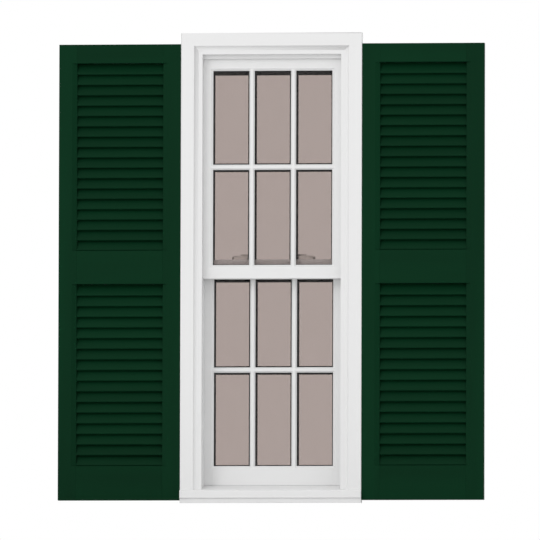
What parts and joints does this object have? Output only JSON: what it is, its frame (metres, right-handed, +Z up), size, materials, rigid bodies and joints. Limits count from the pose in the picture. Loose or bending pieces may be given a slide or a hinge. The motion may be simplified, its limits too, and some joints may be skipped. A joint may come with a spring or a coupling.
{
  "type": "louvred shutters with a sash window",
  "caption": "Pair of dark green louvred shutters fixed beside a white sliding sash window with barred panes and sash locks.",
  "frame": {"origin": "middle of the window's width and depth, on the underside of its sill", "axes": "+X to the right seen from outside, +Y from the outside to the room, +Z up"},
  "size_m": [1.306, 0.16, 1.441],
  "materials": {
    "green_paint": "satin dark green paint on wood",
    "white_paint": "satin white paint on wood",
    "window_glass": "clear float glass",
    "dark_trim": "dark bronze",
    "steel_rod": "bright steel",
    "balance_tube": "pale plastic",
    "lock_metal": "satin nickel",
    "weatherstrip": "soft grey seal"
  },
  "bodies": {
    "frame": {"sill": "white_paint", "left_jamb": "white_paint", "right_jamb": "white_paint", "head_jamb": "white_paint", "left_casing": "white_paint", "right_casing": "white_paint", "head_casing": "white_paint", "left_blind_stop": "white_paint", "right_blind_stop": "white_paint", "head_blind_stop": "white_paint", "left_parting_bead": "white_paint", "right_parting_bead": "white_paint", "head_parting_bead": "white_paint", "left_inner_stop": "white_paint", "right_inner_stop": "white_paint", "head_inner_stop": "white_paint", "upper_balance_tubes": "balance_tube", "lower_balance_tubes": "balance_tube", "left_shutter_outer_stile": "green_paint", "left_shutter_inner_stile": "green_paint", "left_shutter_top_rail": "green_paint", "left_shutter_middle_rail": "green_paint", "left_shutter_bottom_rail": "green_paint", "left_shutter_upper_slats": "green_paint", "left_shutter_lower_slats": "green_paint", "right_shutter_outer_stile": "green_paint", "right_shutter_inner_stile": "green_paint", "right_shutter_top_rail": "green_paint", "right_shutter_middle_rail": "green_paint", "right_shutter_bottom_rail": "green_paint", "right_shutter_upper_slats": "green_paint", "right_shutter_lower_slats": "green_paint"},
    "upper_sash": {"upper_sash_left_stile": "white_paint", "upper_sash_right_stile": "white_paint", "upper_sash_top_rail": "white_paint", "upper_sash_meeting_rail": "white_paint", "upper_sash_outer_glass": "window_glass", "upper_sash_inner_glass": "window_glass", "upper_sash_spacer": "dark_trim", "upper_sash_outer_bars": "white_paint", "upper_sash_inner_bars": "dark_trim", "upper_balance_rods": "steel_rod", "lock_keepers": "lock_metal", "head_weatherstrip": "weatherstrip"},
    "lower_sash": {"lower_sash_left_stile": "white_paint", "lower_sash_right_stile": "white_paint", "lower_sash_bottom_rail": "white_paint", "lower_sash_meeting_rail": "white_paint", "lower_sash_outer_glass": "window_glass", "lower_sash_inner_glass": "window_glass", "lower_sash_spacer": "dark_trim", "lower_sash_outer_bars": "white_paint", "lower_sash_inner_bars": "dark_trim", "lower_balance_rods": "steel_rod", "lock_housings": "lock_metal", "meeting_weatherstrip": "weatherstrip", "sill_weatherstrip": "weatherstrip"},
    "left_lever": {"left_lock_lever": "lock_metal"},
    "right_lever": {"right_lock_lever": "lock_metal"}
  },
  "joints": [
    {"name": "upper_sash_slide", "type": "slide", "parent": "frame", "child": "upper_sash", "axis": [0, 0, -1], "range_m": [0, 0.55]},
    {"name": "lower_sash_slide", "type": "slide", "parent": "frame", "child": "lower_sash", "axis": [0, 0, 1], "range_m": [0, 0.55]},
    {"name": "left_lever_turn", "type": "hinge", "parent": "lower_sash", "child": "left_lever", "pos_m": [-0.09583, 0.0275, 0.7635], "axis": [0, 0, 1], "range_deg": [0, 180]},
    {"name": "right_lever_turn", "type": "hinge", "parent": "lower_sash", "child": "right_lever", "pos_m": [0.09583, 0.0275, 0.7635], "axis": [0, 0, -1], "range_deg": [0, 180]}
  ]
}
